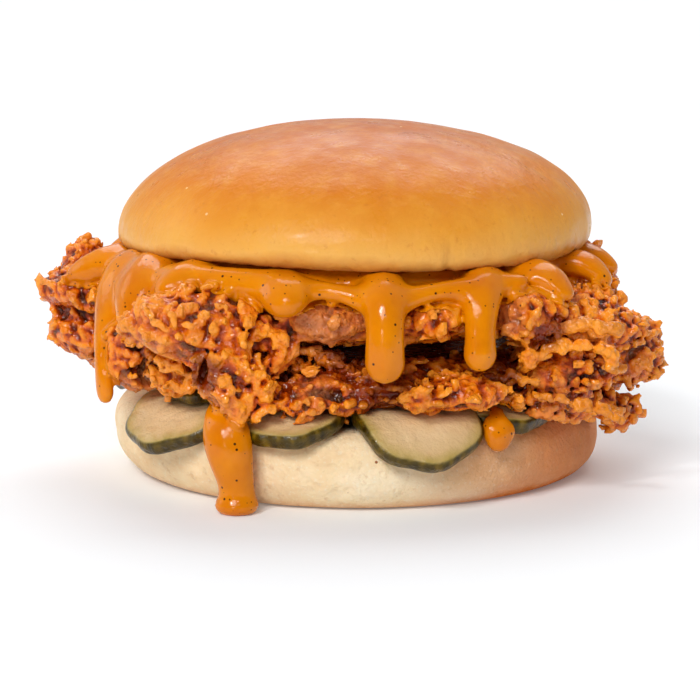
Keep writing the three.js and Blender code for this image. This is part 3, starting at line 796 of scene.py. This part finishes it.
# Hollows: middle (x, height), then half the width, the height and the depth, and the turn in degrees.
HOLLOWS = [
    ((-31.5, 31.5), (1.8, 5.2, 5), 18),
    ((-44.5, 26.5), (3.6, 5.5, 3.5), 0),
    ((-10.5, 36), (3, 3.2, 1.8), 0),
    ((18.5, 37.5), (4, 4, 3.2), 20),
    ((35, 36.3), (4.5, 3.4, 3), -15),
    ((-17.5, 24.5), (4, 2, 2.6), 0),
    ((-4, 26), (5.5, 2.6, 2.4), 10),
    ((43, 37.5), (2, 2.6, 1.6), -30),
    ((22, 31), (7, 1.6, 2.6), 0),
    ((8, 25.5), (6, 1.5, 2.4), 0),
]

# Places (x, height, radius) where the crust is smooth meat, grey with flour, golden, or dark red from the
# oil with painted shade in the hollows, in millimetres.
CALM = [(-39, 34.5, 7), (-35.5, 30.5, 4), (-30.5, 31, 5), (-26.5, 38, 4), (-6, 28.5, 4), (44, 31, 5)]
FLOURY = [(-5, 40.5, 10), (34, 42, 6), (-28, 24, 5), (47, 42.5, 5), (-50, 24, 6), (-9, 45, 6)]
GOLDEN = [(-43, 41, 9), (-38, 30, 9), (-22, 36, 7), (-21, 26, 5), (50, 38, 9), (17, 31, 4), (10, 24, 5)]
RED = [(-31.5, 31, 5.5), (-4, 29.5, 10), (42, 38.5, 5), (6, 27, 9), (-16, 26, 6), (20, 35, 7), (30, 30, 9)]


def front_of(grid, values, spots):
    """The points of the front surface at these (x, height) places."""
    spots = np.asarray(spots, float) * MM
    depths = np.arange(-70 * MM, 0, grid.voxel)
    lines = np.stack(np.broadcast_arrays(spots[:, None, 0], depths[None, :], spots[:, None, 1]), axis=-1)
    inside = grid.sampled(values, lines.reshape(-1, 3)).reshape(len(spots), -1) < 0
    depth = np.where(inside.any(axis=1), depths[inside.argmax(axis=1)], -48 * MM)
    return np.stack([spots[:, 0], depth, spots[:, 1]], axis=1)


def marked(grid, values, points, marks):
    """How much each point lies in one of the marks."""
    total = np.zeros(len(points), np.float32)
    middles = front_of(grid, values, [mark[:2] for mark in marks])
    ragged = 0.35 * noise(points, 3 * MM, 71)
    for middle, mark in zip(middles, marks):
        away = np.linalg.norm(points - middle, axis=1) / (mark[2] * MM)
        total = np.maximum(total, smoothstep(1.05, 0.5, away + ragged))
    return total


def crust_seeds(grid, values, relief, spacing, rng):
    """Points on the crust about the spacing apart, the way out of it and the relief's strength at each."""
    places = grid.places((np.abs(values) < grid.voxel * 0.6) & (relief > 0.2))
    places = places[rng.permutation(len(places))]
    cells = np.floor(places / spacing).astype(int)
    _, kept = np.unique(cells, axis=0, return_index=True)
    seeds = places[np.sort(kept)]
    outward = grid.slopes(values, seeds)
    beside = outward[:, 2] > -0.55
    return seeds[beside], outward[beside], grid.sampled(relief, seeds[beside])


def frames(along, outward):
    """For each point, three directions at right angles: along, across and outward."""
    along = unit(along - (along * outward).sum(axis=1, keepdims=True) * outward)
    return np.stack([along, np.cross(outward, along), outward], axis=1)


def add_nodules(grid, values, relief, spacing, smallest, largest, rng):
    """Round nodules packed side by side, half sunk in the crust."""
    seeds, outward, strength = crust_seeds(grid, values, relief, spacing, rng)
    size = smallest + (largest - smallest) * rng.random(len(seeds)) ** 1.5
    size *= 0.6 + 0.4 * strength
    shares = rng.uniform([0.9, 0.75, 0.75], [1.5, 1.1, 1.1], (len(seeds), 3))
    centres = seeds + outward * (size * rng.uniform(-0.5, 0.2, len(seeds)))[:, None]
    along = drift(seeds, 8 * MM, 41) + 0.5 * rng.normal(size=(len(seeds), 3))
    grid.add_knobs(values, centres, frames(along, outward), size[:, None] * shares, 0.2 * MM)


def add_flakes(grid, values, relief, spacing, rng):
    """Thin leaves of crust that stand up at a slant."""
    seeds, outward, strength = crust_seeds(grid, values, relief, spacing, rng)
    slant = unit(outward + 0.8 * drift(seeds, 5 * MM, 61) + 0.3 * rng.normal(size=(len(seeds), 3)))
    radii = rng.uniform([1.6, 1.2, 0.7], [3.2, 2.2, 0.9], (len(seeds), 3)) * (0.4 + 0.6 * strength)[:, None]
    turns = frames(rng.normal(size=(len(seeds), 3)), slant)
    grid.add_knobs(values, seeds + outward * 0.2 * MM, turns, radii * MM, 0.4 * MM)


def add_ridges(grid, values, rng):
    """The named ridges of the front, as beads of crust along each."""
    for spots, thick in RIDGES:
        spots = np.array(spots, float)
        lengths = np.concatenate([[0], np.cumsum(np.linalg.norm(np.diff(spots, axis=0), axis=1))])
        steps = np.arange(0, lengths[-1], thick * 0.5)
        line = np.stack([np.interp(steps, lengths, spots[:, i]) for i in range(2)], axis=1)
        line += rng.normal(0, 0.4 * thick, line.shape)
        centres = front_of(grid, values, line)
        centres[:, 1] -= rng.uniform(-0.4, 0.3, len(line)) * thick * MM
        size = thick * MM * rng.uniform(0.45, 0.95, (len(line), 1)) * rng.uniform(0.8, 1.2, (len(line), 3))
        turns = frames(rng.normal(size=(len(line), 3)), unit(rng.normal(size=(len(line), 3))))
        grid.add_knobs(values, centres, turns, size, 0.25 * MM)


def add_hollows(grid, values):
    """The named hollows of the front."""
    middles = front_of(grid, values, [middle for middle, _, _ in HOLLOWS])
    for centre, (_, (wide, high, deep), turn) in zip(middles, HOLLOWS):
        lean = math.radians(turn)
        up = np.array([math.sin(lean), 0, math.cos(lean)])
        turns = np.stack([np.cross([0, -1, 0], up), [0, 1, 0], up])[None]
        rest = -values
        grid.add_knobs(rest, [centre], turns, np.array([[wide, deep, high]]) * MM, 0.8 * MM)
        values[...] = -rest


def crag(grid, node, sauce, seed):
    """A piece of chicken with the relief of its crust, and the smooth shape under it."""
    rng = np.random.default_rng(seed)
    body = blurred(grid.distances(*triangles_of(node)), 1.2 * MM / grid.voxel) + 0.9 * MM
    near = np.abs(body) < 3 * MM
    places = grid.places(near)
    out = np.hypot(places[:, 0] / CHICKEN_STRETCH, places[:, 1])
    # Nothing of the relief is needed in the middle, where the layers lie on each other, or under sauce.
    shown = smoothstep(37 * MM, 42 * MM, out) * smoothstep(0.1 * MM, 1.4 * MM, sauce[near])
    picked = shown > 0.01
    near[near] = picked
    places, shown = places[picked], shown[picked]
    rough = 0.65 + 0.35 * smoothstep(-0.35, 0.35, noise(places, 11 * MM, seed + 10))
    rough = np.maximum(rough, smoothstep(35 * MM, 50 * MM, places[:, 0]))
    rough *= 1 - 0.9 * marked(grid, body, places, CALM)
    relief = np.zeros(grid.shape, np.float32)
    relief[near] = shown * rough
    clusters = np.zeros(grid.shape, np.float32)
    clusters[near] = shown * smoothstep(0.6, 0.9, rough)
    warp = places + 1.5 * MM * drift(places, 6 * MM, seed + 1) + 0.7 * MM * drift(places, 2 * MM, seed + 5)
    folds = 1 - np.abs(noise(warp, FOLD_SIZE, seed + 4)) * 2
    lumps = packed(warp, LUMP_SIZE, seed + 8)
    grains = packed(warp, GRAIN_SIZE, seed + 9)
    values = body.copy()
    add_hollows(grid, values)
    add_ridges(grid, values, rng)
    heights = FOLD_HEIGHT * folds + LUMP_HEIGHT * (lumps - 0.6) * rough
    heights += GRAIN_HEIGHT * (grains - 0.5) * (0.3 + 0.7 * rough)
    values[near] -= heights * shown
    add_flakes(grid, values, relief, 8 * MM, rng)
    add_nodules(grid, values, clusters, 3 * MM, 0.5 * MM, 1.15 * MM, rng)
    add_nodules(grid, values, relief, 2.4 * MM, 0.4 * MM, 0.75 * MM, rng)
    return values, body


def dress_chicken(grid, name, values, body, solid, sauce, material):
    """A piece of chicken, with the marks that its colours follow."""
    points, faces = grid.surface(values, CRUST_TRIANGLES)
    # Painted shade: how open, how far out and how rounded each point is darkens the hollows and creases and
    # lightens the crests.
    opened = 1 - grid.sampled(solid, points)
    crest = smoothstep(-2.5 * MM, 2.5 * MM, grid.sampled(body, points))
    bulge = smoothstep(-0.35 * MM, 0.45 * MM, grid.sampled(blurred(values, 1 * MM / grid.voxel), points))
    floury = 0.6 * marked(grid, body, points, FLOURY) + 0.3 * smoothstep(0.3, 0.7, noise(points, 9 * MM, 72))
    # Oil-soaked dark red, with painted shade in the hollows where the marks sit, and some at random.
    red = 0.9 * marked(grid, body, points, RED) + 0.25 * smoothstep(0.2, 0.7, noise(points, 8 * MM, 73))
    golden = marked(grid, body, points, GOLDEN)
    sauced = 0.85 * smoothstep(1.3 * MM, 0.2 * MM, grid.sampled(sauce, points))
    marks = {"open": opened, "crest": crest, "floury": np.clip(floury, 0, 1), "red": np.clip(red, 0, 1)}
    marks |= {"sauced": sauced, "bulge": bulge, "golden": golden}
    dress(name.replace("chicken", "fried"), points, faces, material, name, marks)


# The sauce.


def flowing(grid, values):
    """Sauce that has flowed together: the strands rounded, and the gaps between close ones filled."""
    strands = blurred(values, STRAND_ROUNDING / grid.voxel) - 0.35 * MM
    film = blurred(values, FILM_REACH / grid.voxel) - 1.3 * MM
    return melted(strands, film, 1.5 * MM)


def dress_sauce(grid, name, values, crust, bread, material):
    """A flow of sauce with a thin skirt of it that clings to the crust, clear of the bread."""
    skirt = np.maximum(crust - SKIRT_THICKNESS, values - SKIRT_WIDTH)
    values = np.maximum(melted(values, skirt, SKIRT_WIDTH), 0.2 * MM - bread)
    # The table cuts the foot of the drip off flat.
    heights = (np.arange(grid.shape[2]) + grid.first[2]) * grid.voxel
    values = np.maximum(values, -heights)
    points, faces = grid.surface(values, SAUCE_TRIANGLES)
    dress(name.replace("sauce", "flow"), points, faces, material, name)


def chicken_and_sauce(nodes):
    """The chicken and the sauce, shaped on one grid, so that each leaves the others room."""
    grid = Grid(CHICKEN_LOW, CHICKEN_HIGH, CRUST_VOXEL)
    neighbours = [triangles_of(node) for name, node in nodes.items() if name.startswith(("bun", "pickle"))]
    bread = grid.distances(*together(*neighbours), 2 * MM)
    flows = {}
    for name, node in nodes.items():
        if name.startswith("sauce"):
            flows[name] = flowing(grid, grid.distances(*triangles_of(node)))
    sauce = np.minimum.reduce(list(flows.values()))
    pieces = {}
    bodies = {}
    for seed, name in ((100, "chicken_upper"), (200, "chicken_lower")):
        values, bodies[name] = crag(grid, nodes[name], sauce, seed)
        pieces[name] = np.maximum(np.maximum(values, 0.25 * MM - bread), -(sauce + 0.3 * MM))
    crust = np.minimum(pieces["chicken_upper"], pieces["chicken_lower"])
    filled = np.minimum(np.minimum(crust, bread), sauce) < 0
    solid = blurred(filled.astype(np.float32), 1.0 * MM / grid.voxel)
    material = fried_crust()
    for name, values in pieces.items():
        dress_chicken(grid, name, values, bodies[name], solid, sauce, material)
    glossy = thick_sauce()
    for name, values in flows.items():
        dress_sauce(grid, name, values, crust, bread, glossy)


# The camera, the lights and the table.


def camera():
    """The camera at the photograph's view."""
    data = bpy.data.cameras.new("camera")
    data.lens = VIEW_LENS
    data.shift_x, data.shift_y = VIEW_SHIFT
    data.clip_end = 50
    seen_from = bpy.data.objects.new("camera", data)
    back = VIEW_DISTANCE * math.cos(VIEW_ELEVATION)
    seen_from.location = (0, -back, VIEW_HEIGHT + VIEW_DISTANCE * math.sin(VIEW_ELEVATION))
    seen_from.rotation_euler = (math.pi / 2 - VIEW_ELEVATION, 0, 0)
    bpy.context.scene.collection.objects.link(seen_from)
    bpy.context.scene.camera = seen_from


def lamp(name, kind, place, **settings):
    """A light that faces the middle of the burger."""
    data = bpy.data.lights.new(name, kind)
    for key, value in settings.items():
        setattr(data, key, value)
    light = bpy.data.objects.new(name, data)
    light.location = place
    light.rotation_euler = Vector(place).to_track_quat("Z", "Y").to_euler()
    bpy.context.scene.collection.objects.link(light)


def table():
    """The white table top, which belongs to the stage."""
    half = TABLE_WIDTH / 2
    corners = [(-half, -half, 0), (half, -half, 0), (half, half, 0), (-half, half, 0)]
    mesh = bpy.data.meshes.new("table")
    mesh.from_pydata(corners, [], [(0, 1, 2, 3)])
    mesh.materials.append(white_table())
    top = bpy.data.objects.new("table", mesh)
    bpy.context.scene.collection.objects.link(top)


def surroundings():
    """White all round, dim on the viewer's side and bright behind."""
    world = bpy.data.worlds.new("studio")
    world.use_nodes = True
    tree = world.node_tree
    direction = tree.nodes.new("ShaderNodeTexCoord").outputs["Generated"]
    parts = tree.nodes.new("ShaderNodeSeparateXYZ")
    behind = tree.nodes.new("ShaderNodeMapRange")
    behind.interpolation_type = "SMOOTHSTEP"
    for key, value in {"From Min": -0.7, "From Max": 0.4, "To Min": 0.1, "To Max": 0.5}.items():
        behind.inputs[key].default_value = value
    tree.links.new(direction, parts.inputs[0])
    tree.links.new(parts.outputs["Y"], behind.inputs["Value"])
    tree.links.new(behind.outputs[0], tree.nodes["Background"].inputs["Strength"])
    tree.nodes["Background"].inputs["Color"].default_value = (1, 1, 1, 1)
    bpy.context.scene.world = world


def lamps():
    """A soft key light from the left of the viewer, light from behind, and small lights for the glints."""
    lamp("key", "SUN", (-0.27, -0.74, 0.62), energy=1.55, angle=math.radians(26))
    lamp("shine", "SUN", (-0.406, -0.621, 0.67), energy=0.55, angle=math.radians(6))
    lamp("back", "SUN", (0.03, 0.66, 0.75), energy=1.4, angle=math.radians(50))
    lamp("glint_left", "AREA", (-0.32, -0.95, 0.18), energy=0.4, size=0.045)
    lamp("glint_right", "AREA", (0.10, -0.95, 0.62), energy=0.3, size=0.04)
    lamp("back_left", "AREA", (-0.75, 0.25, 0.45), energy=0.6, size=0.4)
    bpy.context.scene.view_settings.view_transform = "Standard"


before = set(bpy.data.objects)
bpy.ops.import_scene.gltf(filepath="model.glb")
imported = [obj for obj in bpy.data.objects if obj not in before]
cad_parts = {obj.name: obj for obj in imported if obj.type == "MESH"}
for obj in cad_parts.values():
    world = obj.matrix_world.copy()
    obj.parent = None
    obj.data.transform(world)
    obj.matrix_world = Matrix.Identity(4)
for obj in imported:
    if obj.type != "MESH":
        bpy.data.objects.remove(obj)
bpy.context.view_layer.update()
camera()
table()
surroundings()
lamps()
crown()
heel()
pickles()
chicken_and_sauce(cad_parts)
